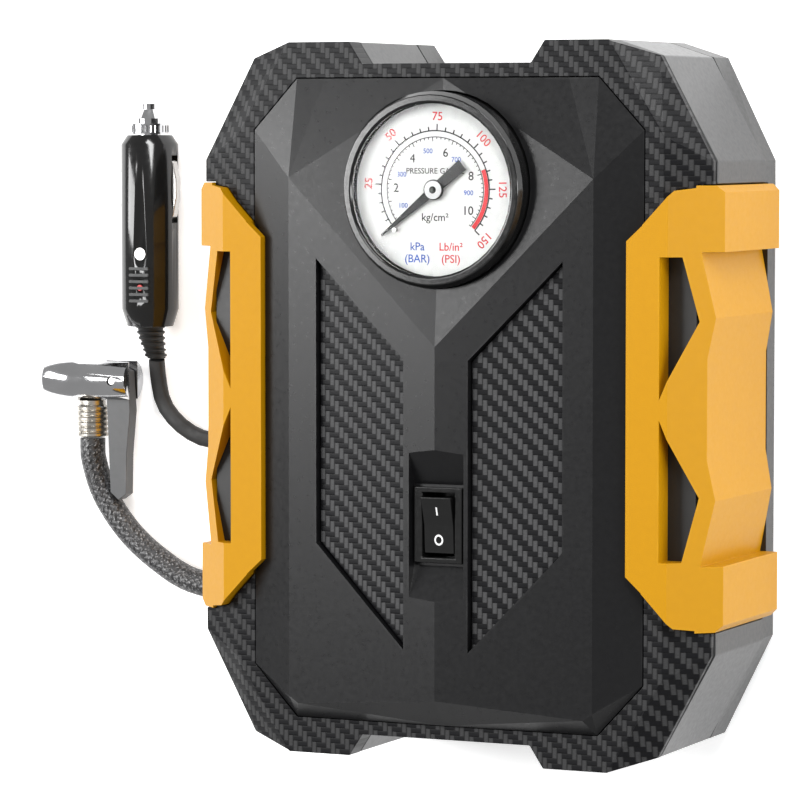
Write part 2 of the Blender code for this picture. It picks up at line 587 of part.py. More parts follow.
def main():
    for obj in list(bpy.data.objects):
        bpy.data.objects.remove(obj, do_unlink=True)
    build_back_cover()
    build_screws()
    build_rear_shell()
    build_front_frame()
    build_grip(1, "grip_right")
    build_grip(-1, "grip_left")
    build_front_cover()
    build_gauge()
    build_switch()
    build_pump()
    build_hose()
    build_chuck()
    build_lead()
    build_plug()


main()
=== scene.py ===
"""Looks of the portable tyre inflator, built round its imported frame. Metres, +Z up."""
import json
import math

import bmesh
import bpy
from mathutils import Matrix, Vector


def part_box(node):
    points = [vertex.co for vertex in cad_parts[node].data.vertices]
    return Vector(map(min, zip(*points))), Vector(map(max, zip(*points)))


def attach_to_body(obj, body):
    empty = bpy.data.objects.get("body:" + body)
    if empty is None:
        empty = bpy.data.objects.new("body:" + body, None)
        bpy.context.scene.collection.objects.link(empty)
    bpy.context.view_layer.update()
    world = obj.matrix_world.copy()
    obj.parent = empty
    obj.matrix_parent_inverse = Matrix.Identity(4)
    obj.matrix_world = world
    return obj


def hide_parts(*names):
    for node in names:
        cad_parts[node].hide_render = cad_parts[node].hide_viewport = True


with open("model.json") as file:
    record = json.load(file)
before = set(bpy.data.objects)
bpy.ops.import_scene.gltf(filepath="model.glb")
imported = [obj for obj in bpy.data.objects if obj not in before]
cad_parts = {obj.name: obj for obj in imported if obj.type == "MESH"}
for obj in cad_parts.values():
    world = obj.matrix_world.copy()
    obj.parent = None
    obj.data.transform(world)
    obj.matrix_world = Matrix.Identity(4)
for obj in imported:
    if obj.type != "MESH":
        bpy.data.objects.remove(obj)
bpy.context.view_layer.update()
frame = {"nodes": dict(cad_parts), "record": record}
nodes = frame["nodes"]
bodies = {node: body for body, group in frame["record"]["behaviour"]["bodies"].items()
          for node in group}

MM = 0.001
FRONT = 0.070                       # front plane of the frame above the back plane
AZIMUTH = math.radians(24.64)       # the camera stands to the casing's right
ELEVATION = math.radians(3.73)      # and a little towards its gauge end
DISTANCE = 1.2566
LENS = 186.6                        # in millimetres, before a 36 mm sensor
AIM = Vector((-0.015, 0.0006, FRONT))
WEAVE = 0.0016                      # width of one carbon thread
BRAID = 0.0024                      # pitch of the hose's strands along it
WORN_EDGE = 0.0012                  # radius of the rims that wear
HOSE_WIDTH = 0.0084
FLOOR_GAP = 0.0004                  # the floor lies this far under the casing


# ---------------------------------------------------------------- camera and light
def add_camera():
    back = Vector((math.sin(AZIMUTH) * math.cos(ELEVATION), math.sin(ELEVATION),
                   math.cos(AZIMUTH) * math.cos(ELEVATION)))
    right = Vector((math.cos(AZIMUTH), 0, -math.sin(AZIMUTH)))
    up = back.cross(right)
    turn = Matrix((right, up, back)).transposed().to_4x4()
    data = bpy.data.cameras.new("camera")
    data.lens = LENS
    data.sensor_width = 36
    data.clip_end = 20
    camera = bpy.data.objects.new("camera", data)
    bpy.context.scene.collection.objects.link(camera)
    camera.matrix_world = Matrix.Translation(AIM + back * DISTANCE) @ turn
    bpy.context.scene.camera = camera


def add_light(name, place, width, height, power):
    data = bpy.data.lights.new(name, "AREA")
    data.energy = power
    data.shape = "RECTANGLE"
    data.size = width
    data.size_y = height
    lamp = bpy.data.objects.new(name, data)
    bpy.context.scene.collection.objects.link(lamp)
    lamp.location = place
    lamp.rotation_euler = (AIM - Vector(place)).to_track_quat("-Z", "Y").to_euler()


def add_studio():
    world = bpy.data.worlds.new("studio")
    world.use_nodes = True
    sky = world.node_tree.nodes["Background"].inputs
    sky["Color"].default_value = (1, 1, 1, 1)
    sky["Strength"].default_value = 0.42
    bpy.context.scene.world = world
    bpy.context.scene.view_settings.view_transform = "Standard"
    add_light("key", (-1.05, 0.25, 1.0), width=0.45, height=1.3, power=24)
    add_light("right_strip", (1.25, 0.1, 0.45), width=0.25, height=1.0, power=9)
    add_light("top_strip", (0.45, 0.95, 1.05), width=0.7, height=0.35, power=15)
    bm = bmesh.new()
    bmesh.ops.create_grid(bm, x_segments=2, y_segments=2, size=3)
    floor = new_object("floor", bm, floor_material())
    floor.location.z = -FLOOR_GAP


# ---------------------------------------------------------------- materials
class Look:
    """A node material built round one Principled shader, in object coordinates."""

    def __init__(self, name, rough, metal=0.0, **sockets):
        self.mat = bpy.data.materials.new(name)
        self.mat.use_nodes = True
        self.tree = self.mat.node_tree
        self.shader = self.tree.nodes["Principled BSDF"]
        self.shader.inputs["Roughness"].default_value = rough
        self.shader.inputs["Metallic"].default_value = metal
        for key, value in sockets.items():
            self.shader.inputs[key.replace("_", " ")].default_value = value
        self.place = self.add("ShaderNodeTexCoord").outputs["Object"]

    def add(self, kind, inputs=(), **settings):
        """A node with its settings, and its inputs given as values or sockets."""
        node = self.tree.nodes.new(kind)
        for key, value in settings.items():
            setattr(node, key, value)
        for key, value in dict(inputs).items():
            if isinstance(value, bpy.types.NodeSocket):
                self.tree.links.new(value, node.inputs[key])
            else:
                node.inputs[key].default_value = value
        return node

    def math(self, operation, a, b=0.0):
        return self.add("ShaderNodeMath", {0: a, 1: b}, operation=operation).outputs[0]

    def noise(self, scale, detail=3.0, stretch=None):
        place = self.place
        if stretch:
            place = self.add("ShaderNodeMapping", {"Vector": place, "Scale": stretch}).outputs[0]
        return self.add("ShaderNodeTexNoise", {"Vector": place, "Scale": scale,
                                               "Detail": detail}).outputs["Fac"]

    def mix(self, fac, dark, light):
        """A colour between two, each given as a value or a socket."""
        node = self.add("ShaderNodeMix", data_type="RGBA")
        self.link(fac, node.inputs[0])
        for socket, value in ((node.inputs[6], dark), (node.inputs[7], light)):
            if isinstance(value, bpy.types.NodeSocket):
                self.link(value, socket)
            else:
                socket.default_value = (*value, 1)
        return node.outputs[2]

    def link(self, a, b):
        self.tree.links.new(a, b)

    def blend(self, fac, a, b):
        """One number or another, by a third."""
        node = self.add("ShaderNodeMix", data_type="FLOAT")
        for index, socket in ((0, fac), (2, a), (3, b)):
            self.link(socket, node.inputs[index])
        return node.outputs[0]

    def rise(self, axis):
        """How far a running number stands from the middle of its own unit."""
        return self.math("SUBTRACT", self.math("FRACT", axis), 0.5)

    def cell(self, a, b):
        """Number of the cell that two running numbers meet in."""
        return self.math("ADD", self.math("FLOOR", a), self.math("FLOOR", b))

    def ramp(self, value, low, high):
        """A number from 0 to 1 as the value runs from low to high."""
        return self.add("ShaderNodeMapRange", {"Value": value, "From Min": low,
                                               "From Max": high}).outputs[0]

    def colour(self, socket):
        self.link(socket, self.shader.inputs["Base Color"])

    def rough(self, value, low, high):
        spread = self.add("ShaderNodeMapRange", {"Value": value, "From Min": 0.3,
                                                 "From Max": 0.7, "To Min": low, "To Max": high})
        self.link(spread.outputs[0], self.shader.inputs["Roughness"])

    def bump(self, height, distance, strength):
        node = self.add("ShaderNodeBump", {"Height": height, "Distance": distance,
                                           "Strength": strength})
        self.link(node.outputs[0], self.shader.inputs["Normal"])

    def edge_wear(self, base, worn, amount):
        """Lighten the rims that hands and the floor of a car's boot rub."""
        rounded = self.add("ShaderNodeBevel", {"Radius": WORN_EDGE}, samples=4).outputs[0]
        flat = self.add("ShaderNodeNewGeometry").outputs["Normal"]
        match = self.add("ShaderNodeVectorMath", {0: rounded, 1: flat}, operation="DOT_PRODUCT")
        edge = self.ramp(self.math("SUBTRACT", 1.0, match.outputs["Value"]), 0.02, 0.12)
        patchy = self.math("MULTIPLY", edge, self.ramp(self.noise(90), 0.42, 0.68))
        return self.mix(self.math("MULTIPLY", patchy, amount), base, worn)


def floor_material():
    look = Look("studio_floor", 0.9, Specular_IOR_Level=0.1)
    look.colour(look.mix(look.noise(3), (0.97, 0.97, 0.97), (0.99, 0.99, 0.99)))
    look.shader.inputs["Emission Color"].default_value = (1, 1, 1, 1)
    look.shader.inputs["Emission Strength"].default_value = 0.5
    return look.mat


def moulded_plastic(name, dark, light, worn, rough, grain=0.00004, wear=0.35,
                    specular=0.5):
    look = Look(name, rough, Specular_IOR_Level=specular)
    base = look.mix(look.noise(420, 5), dark, light)
    look.colour(look.edge_wear(base, worn, wear))
    look.rough(look.noise(700, 4), rough - 0.03, rough + 0.04)
    look.bump(look.noise(2600, 2), grain, 0.15)
    return look.mat


def carbon_weave(name, light=0.038, coat=0.03):
    """A 2/2 twill whose steps fall to the right, under clear lacquer; the threads of one
    direction are painted lighter as a sheen, and every thread has a painted highlight on its
    crown and painted shade at its edges.
    """
    look = Look(name, 0.42, Coat_Weight=coat, Coat_Roughness=0.16, Specular_IOR_Level=0.12)
    split = look.add("ShaderNodeSeparateXYZ", {0: look.place})
    u = look.math("DIVIDE", split.outputs[0], WEAVE)
    v = look.math("DIVIDE", split.outputs[1], WEAVE)
    lit_warp = look.math("LESS_THAN", look.math("FLOORED_MODULO", look.cell(u, v), 4.0), 1.5)
    crowns = []
    for axis in (u, v):
        edge = look.math("MULTIPLY", look.math("ABSOLUTE", look.rise(axis)), 2.0)
        crowns.append(look.math("SUBTRACT", 1.0, look.math("POWER", edge, 4.0)))
    height = look.blend(lit_warp, crowns[1], crowns[0])
    fibres = look.noise(900, 2, (1, 8, 1))
    # Painted sheen: the threads of one direction are lit and the others shaded, though all are
    # the same black fibre; light sets the lit level.
    lit = look.mix(fibres, (light * 0.55,) * 3, (light * 1.4, light * 1.4, light * 1.45))
    thread = look.mix(lit_warp, (0.006, 0.006, 0.007), lit)
    # Painted highlight along each thread's crown, fading to painted shade at its edges.
    look.colour(look.mix(height, (0.004, 0.004, 0.004), thread))
    look.bump(height, 0.00012, 0.5)
    return look.mat


def metal(name, colour, rough, brushed=None, stretch=(1, 1, 1)):
    look = Look(name, rough, 1.0)
    tint = tuple(c * 0.82 for c in colour)
    look.colour(look.mix(look.ramp(look.noise(60, 4), 0.3, 0.7), tint, colour))
    look.rough(look.noise(220, 4), rough * 0.75, rough * 1.4 + 0.02)
    look.bump(look.noise(brushed or 1500, 2, stretch), 0.00002, 0.3)
    return look.mat


def rubber(name, shade, rough=0.6):
    look = Look(name, rough)
    look.colour(look.mix(look.noise(120, 5), (shade * 0.7,) * 3, (shade * 1.5,) * 3))
    look.rough(look.noise(300, 3), rough - 0.1, rough + 0.12)
    look.bump(look.noise(1800, 3), 0.00006, 0.4)
    return look.mat


def braid(name):
    """Crossing black strands with grey flecks, wound by the tube's own map; the strands of one
    direction are painted lighter as a sheen.
    """
    look = Look(name, 0.45, Specular_IOR_Level=0.6)
    strands = 11.0
    uv = look.add("ShaderNodeTexCoord").outputs["UV"]
    split = look.add("ShaderNodeSeparateXYZ", {0: uv})
    along = look.math("MULTIPLY", split.outputs[0], 1 / BRAID)
    around = look.math("MULTIPLY", split.outputs[1], strands)
    a = look.math("ADD", along, around)
    b = look.math("SUBTRACT", along, around)
    over = look.math("LESS_THAN", look.math("FLOORED_MODULO", look.cell(a, b), 2.0), 0.5)
    ribs = []
    for axis in (a, b):
        edge = look.math("MULTIPLY", look.math("ABSOLUTE", look.rise(axis)), 2.0)
        ribs.append(look.math("SUBTRACT", 1.0, edge))
    height = look.math("POWER", look.blend(over, ribs[0], ribs[1]), 0.6)
    flecks = look.math("MULTIPLY", look.ramp(look.noise(1500, 2), 0.54, 0.62), height)
    # Painted sheen: strands running one way are lighter than those running the other, though all
    # are black.
    sheened_strand = look.mix(over, (0.010, 0.010, 0.011), (0.035, 0.035, 0.037))
    look.colour(look.mix(look.math("MULTIPLY", flecks, 0.55), sheened_strand, (0.42, 0.42, 0.43)))
    look.bump(height, 0.0003, 0.6)
    return look.mat


def clear_lens():
    look = Look("lens_clear", 0.03, Transmission_Weight=1.0, IOR=1.15)
    look.colour(look.mix(look.noise(30), (0.98, 0.99, 0.99), (1, 1, 1)))
    look.bump(look.noise(400), 0.000003, 0.1)
    return look.mat


def printed(name, colour):
    look = Look(name, 0.4)
    look.colour(look.mix(look.noise(500, 4), tuple(c * 0.85 for c in colour), colour))
    look.bump(look.noise(2500, 2), 0.00001, 0.2)
    return look.mat


MATS = {
    "yellow": moulded_plastic("yellow_plastic", (0.44, 0.205, 0.0), (0.475, 0.225, 0.0),
                              (0.58, 0.32, 0.02), 0.42, specular=0.16),
    "cover": moulded_plastic("cover_plastic", (0.0045, 0.0045, 0.005), (0.007, 0.007, 0.0075),
                             (0.05, 0.05, 0.05), 0.30, specular=0.32),
    "shell": moulded_plastic("shell_plastic", (0.010, 0.0102, 0.0106), (0.014, 0.0142, 0.0148),
                             (0.08, 0.08, 0.08), 0.34),
    "black": moulded_plastic("black_plastic", (0.005, 0.005, 0.005), (0.008, 0.008, 0.008),
                             (0.04, 0.04, 0.04), 0.38),
    "gloss": moulded_plastic("gloss_black", (0.004, 0.004, 0.004), (0.007, 0.007, 0.007),
                             (0.05, 0.05, 0.05), 0.12, 0.00001, 0.15),
    # The carbon looks carry a painted sheen in their colour; the inlay's is brighter.
    "weave": carbon_weave("carbon_weave"),
    "inlay": carbon_weave("carbon_inlay", 0.06, 0.04),
    "chrome": metal("chrome_plate", (0.62, 0.62, 0.63), 0.09),
    "steel": metal("zinc_steel", (0.58, 0.57, 0.56), 0.28),
    "nickel": metal("nickel", (0.62, 0.59, 0.54), 0.24, 900, (1, 6, 1)),
    "brass": metal("brass", (0.80, 0.56, 0.24), 0.25),
    "alloy": metal("cast_alloy", (0.55, 0.55, 0.56), 0.42),
    "lever": moulded_plastic("lever_grey", (0.055, 0.057, 0.06), (0.075, 0.077, 0.08),
                             (0.22, 0.22, 0.22), 0.42),
    "rubber": rubber("cord_rubber", 0.014),
    "boot": rubber("boot_rubber", 0.012, 0.5),
    "dial": printed("dial_face", (0.90, 0.90, 0.88)),
    "ink": printed("ink_black", (0.012, 0.012, 0.012)),
    "ink_red": printed("ink_red", (0.72, 0.02, 0.03)),
    "ink_blue": printed("ink_blue", (0.01, 0.10, 0.50)),
    "mark": printed("mark_white", (0.85, 0.85, 0.85)),
    "led": printed("led_red", (0.55, 0.02, 0.02)),
    "lens": clear_lens(),
    "braid": braid("hose_braid"),
}


# ---------------------------------------------------------------- building tools
def new_object(name, bm, mat, smooth=None):
    """An object from a mesh, shaded smooth up to an angle if one is given."""
    mesh = bpy.data.meshes.new(name)
    bm.to_mesh(mesh)
    bm.free()
    if smooth:
        mesh.shade_smooth()
        mesh.set_sharp_from_angle(angle=math.radians(smooth))
    obj = bpy.data.objects.new(name, mesh)
    bpy.context.scene.collection.objects.link(obj)
    mesh.materials.append(mat)
    return obj


def attach(obj, body):
    """Let a piece ride on its body."""
    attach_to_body(obj, body)


def refine(node, mat, width, crease):
    """Stand in for a CAD node with the same shape and rounded edges.

    Edges sharper than the bevel's angle get the width in millimetres, and the
    surface is shaded smooth up to the crease angle.
    """
    weld, flat, sharp = 0.000004, math.radians(0.6), math.radians(28)
    bm = bmesh.new()
    bm.from_mesh(nodes[node].data)
    bmesh.ops.remove_doubles(bm, verts=bm.verts, dist=weld)
    if width:
        bmesh.ops.dissolve_limit(bm, angle_limit=flat, verts=bm.verts, edges=bm.edges)
    obj = new_object(node + "_skin", bm, MATS[mat], crease)
    if width:
        mod = obj.modifiers.new("edges", "BEVEL")
        mod.width = width * MM
        mod.segments = 2
        mod.limit_method = "ANGLE"
        mod.angle_limit = sharp
        mod.harden_normals = True
    attach(obj, bodies[node])
    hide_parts(node)


def smooth_route(points, step):
    """Even points along a smooth curve through the given ones."""
    spans = 12
    pts = [Vector(p) for p in points]
    pts = [2 * pts[0] - pts[1]] + pts + [2 * pts[-1] - pts[-2]]
    fine = []
    for a, b, c, d in zip(pts, pts[1:], pts[2:], pts[3:]):
        for i in range(spans):
            t = i / spans
            fine.append(0.5 * (2 * b + (c - a) * t + (2 * a - 5 * b + 4 * c - d) * t * t
                               + (3 * b - a - 3 * c + d) * t ** 3))
    fine.append(pts[-2])
    even, walked = [fine[0]], 0.0
    for a, b in zip(fine, fine[1:]):
        walked += (b - a).length
        if walked >= step * len(even):
            even.append(b)
    if (even[-1] - fine[-1]).length < step * 0.5:
        even.pop()
    return even + [fine[-1]]


def tube(name, route, section, mat):
    """Sweep a section of (side, up) offsets along a route, mapped by its length.

    Gives the object and the route's length.
    """
    bm = bmesh.new()
    layer = bm.loops.layers.uv.new("UVMap")
    rows, lengths, walked = [], [], 0.0
    for i, point in enumerate(route):
        ahead = (route[min(i + 1, len(route) - 1)] - route[max(i - 1, 0)]).normalized()
        side = ahead.cross(Vector((0, 0, 1))).normalized()
        up = side.cross(ahead)
        rows.append([bm.verts.new(point + side * s + up * u) for s, u in section])
        walked += (point - route[i - 1]).length if i else 0.0
        lengths.append(walked)
    count = len(section)
    for i in range(len(rows) - 1):
        for j in range(count):
            k = (j + 1) % count
            face = bm.faces.new((rows[i][j], rows[i][k], rows[i + 1][k], rows[i + 1][j]))
            spots = ((i, j), (i, j + 1), (i + 1, j + 1), (i + 1, j))
            for loop, (a, b) in zip(face.loops, spots):
                loop[layer].uv = (lengths[a], b / count)
    bm.faces.new(rows[0][::-1])
    bm.faces.new(rows[-1])
    bmesh.ops.recalc_face_normals(bm, faces=bm.faces)
    return new_object(name, bm, mat, 50), walked


def lathe(name, profile, centre, mat, steps=48, along_y=False):
    """Turn a (radius, height) profile, in millimetres, that starts and ends on the axis."""
    turn = Matrix.Rotation(-math.pi / 2, 4, "X") if along_y else Matrix()
    bm = bmesh.new()
    verts = [bm.verts.new((r * MM, 0, h * MM)) for r, h in profile]
    edges = [bm.edges.new(pair) for pair in zip(verts, verts[1:])]
    bmesh.ops.spin(bm, geom=verts + edges, cent=(0, 0, 0), axis=(0, 0, 1), angle=math.tau,
                   steps=steps, use_merge=False)
    bmesh.ops.remove_doubles(bm, verts=bm.verts, dist=0.000002)
    bmesh.ops.recalc_face_normals(bm, faces=bm.faces)
    bmesh.ops.transform(bm, matrix=Matrix.Translation(centre) @ turn, verts=bm.verts)
    return new_object(name, bm, MATS[mat], 35)


# ---------------------------------------------------------------- hose and cord
COIL_LOW = 3.1                      # height of the coil's lowest layer, in millimetres


def circle(radius, degrees, height):
    """A point on a level circle round the middle of the cable well."""
    a = math.radians(degrees)
    return (radius * math.cos(a), radius * math.sin(a), height)


def add_hose():
    """One loop in the cable well, then out to the chuck's ferrule."""
    loop, low, sides = 57.0, 4.7, 24
    route = [(-loop, -3.6, low)]
    route += [circle(loop, degrees, low) for degrees in range(180, -96, -15)]
    route += [(-22, -60.5, 4.6), (-45, -64.5, 4.5), (-70, -67.5, 4.5), (-95, -68.5, 4.5),
              (-118.6, -65.9, 4.5), (-132.3, -59.3, 4.5), (-143.8, -50, 4.7),
              (-152.2, -38, 5.6), (-155.1, -27, 7.5), (-155.3, -22.5, 8.0),
              (-155.3, -19.4, 8.0)]
    points = smooth_route([Vector(p) * MM for p in route], 0.003)
    radius = HOSE_WIDTH / 2
    section = [(radius * math.cos(math.tau * i / sides),
                radius * math.sin(math.tau * i / sides)) for i in range(sides)]
    hose, length = tube("braided_hose", points, section, MATS["braid"])
    attach(hose, "casing")
    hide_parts("air_hose")
    ferrule = add_ferrule()


def add_ferrule():
    """The crimped sleeve between the hose and the chuck, with six ribs."""
    foot, neck, end = -18.9, -8.2, -6.9
    core, crest, throat, pitch = 4.7, 5.25, 4.3, 1.75
    profile = [(0, foot)]
    for i in range(6):
        base = foot + pitch * i
        profile += [(core, base), (crest, base + 0.35), (crest, base + 1.15),
                    (core, base + 1.5)]
    profile += [(throat, neck), (throat, end), (0, end)]
    ferrule = lathe("ribbed_ferrule", profile, (-0.1553, 0, 0.008), "nickel", along_y=True)
    attach(ferrule, "casing")
    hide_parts("hose_ferrule")
    return ferrule


def coil_route():
    """Three layers of four turns, wound outwards, back and outwards again."""
    inner, outer, start = 32.0, 47.6, 20
    steps, turns = 16, 4
    points = []
    for height, outwards in ((13.2, True), (8.2, False), (COIL_LOW, True)):
        for i in range(turns * steps):
            share = i / (turns * steps)
            if not outwards:
                share = 1 - share
            radius = inner + (outer - inner) * share
            points.append(circle(radius, start + 360 * i / steps, height))
    return points


def cord_section():
    """Two round cores side by side, a little taller than they are wide."""
    half, lobe, tall, corners = 0.0012, 0.0015, 1.25, 9
    section = []
    for centre, start in ((half, -70), (-half, 110)):
        for i in range(corners):
            a = math.radians(start + 17.5 * i)
            section.append((centre + lobe * math.cos(a), lobe * math.sin(a) * tall))
    return section


def add_cord():
    """From its gland into the coil, out through the side and along the floor to the plug."""
    start = [(15.5, 0, 8.2), (22, 0, 8.2), (28, 2, 10.5)]
    last_turn = [circle(47.8, degrees, COIL_LOW) for degrees in range(35, 191, 20)]
    out = [(-47.9, -14, 3.2), (-51, -20.5, 3.4), (-57.5, -24.0, 3.4), (-68, -25.2, 3.2),
           (-84, -23.2, 2.7), (-100, -20.8, 2.7), (-112.6, -19.4, 2.7), (-119.5, -17.9, 2.7),
           (-126.5, -13.6, 2.7), (-131.6, -7.4, 2.7), (-133.2, 0.5, 3.2), (-133.0, 6.8, 4.8)]
    route = [Vector(p) * MM for p in start + coil_route() + last_turn + out]
    points = smooth_route(route, 0.004)
    cord, length = tube("power_lead", points, cord_section(), MATS["rubber"])
    attach(cord, "casing")
    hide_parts("power_cord", "cord_coil", "cord_tail")
    boot = add_boot()


def add_boot():
    """Ribbed strain relief that narrows and bends down to the floor."""
    wide, taper, groove, grooves = 4.8, 1.3, 0.55, 11
    top, drop = Vector((-132.4, 17.9, 10.2)), Vector((-0.6, -10.6, -5.4))
    last, count = 44, 24
    bm = bmesh.new()
    rings = []
    for i in range(last + 1):
        share = i / last
        cut = groove if int(share * grooves + 0.5) % 2 else 0.0
        radius = wide - taper * share - cut
        centre = top + Vector((drop.x * share, drop.y * share, drop.z * share ** 1.3))
        ring = []
        for j in range(count):
            a = math.tau * j / count
            offset = Vector((radius * math.cos(a), 0, radius * math.sin(a)))
            ring.append(bm.verts.new((centre + offset) * MM))
        rings.append(ring)
    for low, high in zip(rings, rings[1:]):
        for j in range(count):
            bm.faces.new((low[j], low[(j + 1) % count], high[(j + 1) % count], high[j]))
    bm.faces.new(rings[0])
    bm.faces.new(rings[-1])
    bmesh.ops.recalc_face_normals(bm, faces=bm.faces)
    boot = new_object("ribbed_boot", bm, MATS["boot"], 50)
    attach(boot, "casing")
    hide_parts("plug_boot")
    return boot


# ---------------------------------------------------------------- gauge print
GAUGE = Vector((0, 0.0644, 0.07748))    # middle of the print, just above the dial
DIAL = 0.0259                           # radius of the dial
ZERO = 218.7                            # direction of zero pressure, in degrees
FULL = -42.8                            # direction of the end of the scales
PER_PSI = 1.743                         # degrees for each unit of the outer scale
INNER_STEP = 5.03                       # degrees between the inner scale's ticks


def polar(degrees, share):
    """Offset from the dial's middle, at a share of its radius."""
    a = math.radians(degrees)
    return Vector((math.cos(a), math.sin(a), 0)) * DIAL * share


def add_arc(bm, inner, outer, start, end):
    """A flat band between two shares of the dial's radius."""
    steps = max(2, round(abs(end - start) / 4))
    rim = [[bm.verts.new(GAUGE + polar(start + (end - start) * i / steps, share))
            for i in range(steps + 1)] for share in (inner, outer)]
    for i in range(steps):
        bm.faces.new((rim[0][i], rim[1][i], rim[1][i + 1], rim[0][i + 1]))


def add_tick(bm, degrees, inner, outer, width):
    """A flat radial stroke, its sizes as shares of the dial's radius."""
    along = polar(degrees, 1).normalized()
    side = Vector((-along.y, along.x, 0)) * DIAL * width / 2
    a, b = GAUGE + polar(degrees, inner), GAUGE + polar(degrees, outer)
    bm.faces.new([bm.verts.new(p) for p in (a - side, b - side, b + side, a + side)])


def add_text(bm, words, place, height, degrees=0.0):
    """Flat lettering round a place on the dial; a thicker 4 would lose its opening."""
    curve = bpy.data.curves.new("words", "FONT")
    curve.body = words
    curve.size = 1
    curve.align_x = "CENTER"
    curve.align_y = "CENTER"
    curve.resolution_u = 3
    curve.offset = 0 if words == "4" else 0.006
    text = bpy.data.objects.new("words", curve)
    bpy.context.scene.collection.objects.link(text)
    mesh = bpy.data.meshes.new_from_object(text)
    mesh.transform(Matrix.Translation(place) @ Matrix.Rotation(math.radians(degrees), 4, "Z")
                   @ Matrix.Scale(height, 4))
    bm.from_mesh(mesh)
    bpy.data.objects.remove(text)


def scale_angle(psi):
    """Direction of a pressure on the outer scale."""
    return ZERO - PER_PSI * psi


def add_print():
    """Two scales, their numbers and units, in three inks."""
    black, red, blue = bmesh.new(), bmesh.new(), bmesh.new()
    for psi in range(0, 151, 5):
        outer = 0.76 if psi % 25 == 0 else 0.73
        add_tick(black, scale_angle(psi), 0.68, outer, 0.016)
    for step in range(53):
        inner = 0.56 if step % 5 == 0 else 0.585
        add_tick(black, ZERO - INNER_STEP * step, inner, 0.615, 0.01)
    add_arc(black, 0.675, 0.69, ZERO, FULL)
    add_arc(black, 0.605, 0.615, ZERO, FULL)
    red_from, red_to = 21, -42.5
    add_arc(red, 0.622, 0.672, red_from, red_to)
    for psi in range(25, 151, 25):
        angle = scale_angle(psi)
        add_text(red, str(psi), GAUGE + polar(angle, 0.845), 0.0036, angle - 90)
    for words, x, y in (("2", -0.495, 0.016), ("4", -0.285, 0.358), ("6", 0.132, 0.424),
                        ("8", 0.453, 0.156), ("10", 0.414, -0.242)):
        add_text(black, words, GAUGE + Vector((x, y, 0)) * DIAL, 0.0037)
    for words, x, y in (("100", -0.406, -0.185), ("300", -0.424, 0.175), ("500", -0.091, 0.445),
                        ("700", 0.266, 0.347), ("900", 0.422, -0.035)):
        add_text(blue, words, GAUGE + Vector((x, y, 0)) * DIAL, 0.0021)
    add_text(black, "PRESSURE GAUGE", GAUGE + Vector((0, 0.215, 0)) * DIAL, 0.0024)
    add_text(black, "kg/cm²", GAUGE + Vector((0, -0.32, 0)) * DIAL, 0.0033)
    for bm, words, x in ((blue, ("kPa", "(BAR)"), -0.225), (red, ("Lb/in²", "(PSI)"), 0.2)):
        for line, y in zip(words, (-0.66, -0.80)):
            add_text(bm, line, GAUGE + Vector((x, y, 0)) * DIAL, 0.0034)
    for name, bm, mat in (("print_black", black, "ink"), ("print_red", red, "ink_red"),
                          ("print_blue", blue, "ink_blue")):
        attach(new_object(name, bm, MATS[mat]), "casing")


def add_pointer_cap():
    """A white hub with a dark rivet, turning with the needle."""
    cap = lathe("pointer_cap", [(0, 0.15), (2.5, 0.15), (2.75, 0.0), (2.75, -0.1), (0, -0.1)],
                (0, GAUGE.y, 0.0792), "mark", 32)
    attach(cap, "pointer")
    dot = lathe("pointer_dot", [(0, 0.3), (0.8, 0.25), (1.1, 0.15), (1.1, 0), (0, 0)],
                (0, GAUGE.y, 0.0793), "ink", 24)
    attach(dot, "pointer")


def add_window_liners():
    """Plain black floors under the openings of the side grips."""
    width, length, thick = 0.010, 0.094, 0.0004
    middle, height = 0.0742, 0.06585
    for side, sign in (("right", 1), ("left", -1)):
        bm = bmesh.new()
        bmesh.ops.create_grid(bm, x_segments=2, y_segments=12, size=0.5)
        bmesh.ops.scale(bm, vec=(width, length, 1), verts=bm.verts)
        bmesh.ops.translate(bm, vec=(sign * middle, 0, height), verts=bm.verts)
        bmesh.ops.solidify(bm, geom=bm.faces[:], thickness=-thick)
        attach(new_object("window_liner_" + side, bm, MATS["black"]), "casing")


def plug_axis():
    """Middle and radius of the plug's body, which lies along Y."""
    low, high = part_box("plug_body")
    return Vector(((low.x + high.x) / 2, 0, (low.z + high.z) / 2)), (high.x - low.x) / 2


def add_plug_ribs():
    """Six short ribs across the top of the plug, under its lamp."""
    axis, radius = plug_axis()
    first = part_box("plug_body")[0].y + 0.0085
    pitch, size, sunk = 0.0021, (0.0072, 0.0009, 0.0014), 0.0004
    bm = bmesh.new()
    for i in range(6):
        place = Matrix.Translation((axis.x + 0.0008, first + pitch * i, axis.z + radius - sunk))
        bmesh.ops.create_cube(bm, size=1, matrix=place @ Matrix.Diagonal((*size, 1)))
    bmesh.ops.bevel(bm, geom=bm.edges[:], offset=0.00018, segments=2, affect="EDGES")
    attach(new_object("plug_ribs", bm, MATS["black"], 40), "casing")


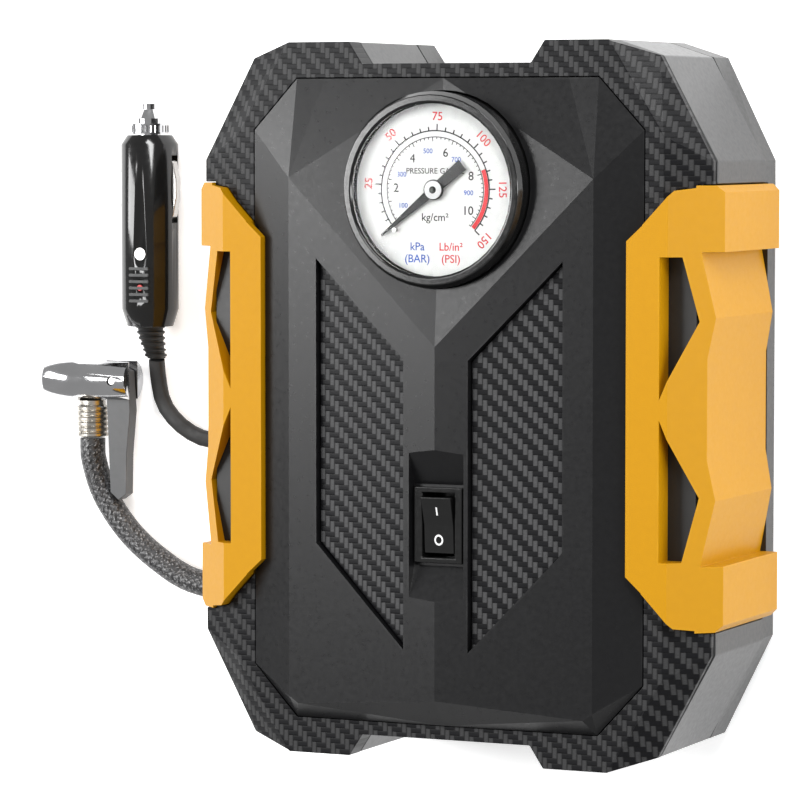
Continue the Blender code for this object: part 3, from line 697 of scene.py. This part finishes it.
def add_knurled_ring():
    """A toothed sleeve round the plug's metal collar."""
    axis = plug_axis()[0]
    low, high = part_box("plug_collar")
    crest, root, bore, end = 0.0066, 0.0060, 0.0045, 0.0006
    count = 56
    bm = bmesh.new()

    def ring(radii, y):
        verts = []
        for i in range(count):
            r, a = radii[i % 2], math.tau * i / count
            verts.append(bm.verts.new((axis.x + r * math.cos(a), y, axis.z + r * math.sin(a))))
        return verts

    outer = [ring((root, crest), y) for y in (low.y + end, high.y - end)]
    inner = [ring((bore, bore), y) for y in (low.y + end, high.y - end)]
    for i in range(count):
        k = (i + 1) % count
        bm.faces.new((outer[0][i], outer[0][k], outer[1][k], outer[1][i]))
        bm.faces.new((inner[0][i], inner[1][i], inner[1][k], inner[0][k]))
        bm.faces.new((outer[0][i], inner[0][i], inner[0][k], outer[0][k]))
        bm.faces.new((outer[1][i], outer[1][k], inner[1][k], inner[1][i]))
    bmesh.ops.recalc_face_normals(bm, faces=bm.faces)
    attach(new_object("knurled_ring", bm, MATS["chrome"]), "casing")


def bar_mark():
    """A short stroke along Y."""
    bm = bmesh.new()
    bmesh.ops.create_grid(bm, x_segments=1, y_segments=1, size=0.5)
    bmesh.ops.scale(bm, vec=(0.0005, 0.0026, 1), verts=bm.verts)
    return bm


def ring_mark():
    """A flat ring, a little longer along Y."""
    steps, inner, outer, tall = 28, 0.00095, 0.00145, 1.15
    bm = bmesh.new()
    rows = [[bm.verts.new((r * math.cos(math.tau * i / steps),
                           tall * r * math.sin(math.tau * i / steps), 0))
             for i in range(steps)] for r in (inner, outer)]
    for i in range(steps):
        k = (i + 1) % steps
        bm.faces.new((rows[0][i], rows[1][i], rows[1][k], rows[0][k]))
    return bm


def add_switch_marks():
    """The two marks lie on the rocker's two slanted faces."""
    low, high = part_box("switch_rocker")
    middle, ridge, lift = (low.y + high.y) / 2, 0.0749, 0.00008
    for name, bm, offset, slope in (("mark_on", bar_mark(), 0.0043, 2.6 / 8.6),
                                    ("mark_off", ring_mark(), -0.0045, 0.5 / 8.6)):
        place = Matrix.Translation((0, middle + offset, ridge + slope * offset + lift))
        tilt = Matrix.Rotation(math.atan(slope), 4, "X")
        bmesh.ops.transform(bm, matrix=place @ tilt, verts=bm.verts)
        attach(new_object(name, bm, MATS["mark"]), "rocker")


# node: material, width of its rounded edges in millimetres, crease angle in degrees
SKINS = {
    "front_cover": ("cover", 0.6, 4), "front_frame": ("weave", 0.7, 6),
    "rear_shell": ("shell", 1.2, 9), "back_cover": ("black", 1.0, 9),
    "grip_left": ("yellow", 1.2, 6), "grip_right": ("yellow", 1.2, 6),
    "inset_left": ("inlay", 0.25, 20), "inset_right": ("inlay", 0.25, 20),
    "switch_body": ("gloss", 0.4, 20), "switch_rocker": ("gloss", 0.35, 20),
    "gauge_bezel": ("gloss", 0.3, 35), "gauge_pointer": ("ink", 0.1, 30),
    "chuck_body": ("chrome", 0, 32), "chuck_lever": ("lever", 0.7, 30),
    "plug_body": ("gloss", 0, 32), "plug_contact_1": ("steel", 0.4, 30),
    "plug_contact_2": ("steel", 0.4, 30),
}

# materials of the CAD nodes that show as they are; the rest are steel
CAD_LOOKS = {
    "gauge_lens": "lens", "gauge_dial": "dial", "chuck_seal": "rubber",
    "plug_tip": "chrome", "plug_collar": "chrome", "plug_led": "led",
    "cord_gland": "black", "hose_gland": "black",
    "switch_terminal_1": "brass", "switch_terminal_2": "brass", "gauge_stem": "brass",
    "cylinder": "alloy", "cylinder_head": "alloy", "piston_rod": "alloy",
}


def main():
    add_camera()
    add_studio()
    add_hose()
    add_cord()
    for node, (mat, width, crease) in SKINS.items():
        refine(node, mat, width, crease)
    for node, obj in nodes.items():
        obj.data.materials.clear()
        obj.data.materials.append(MATS[CAD_LOOKS.get(node, "steel")])
    add_print()
    add_window_liners()
    add_plug_ribs()
    add_knurled_ring()
    add_pointer_cap()
    add_switch_marks()


main()
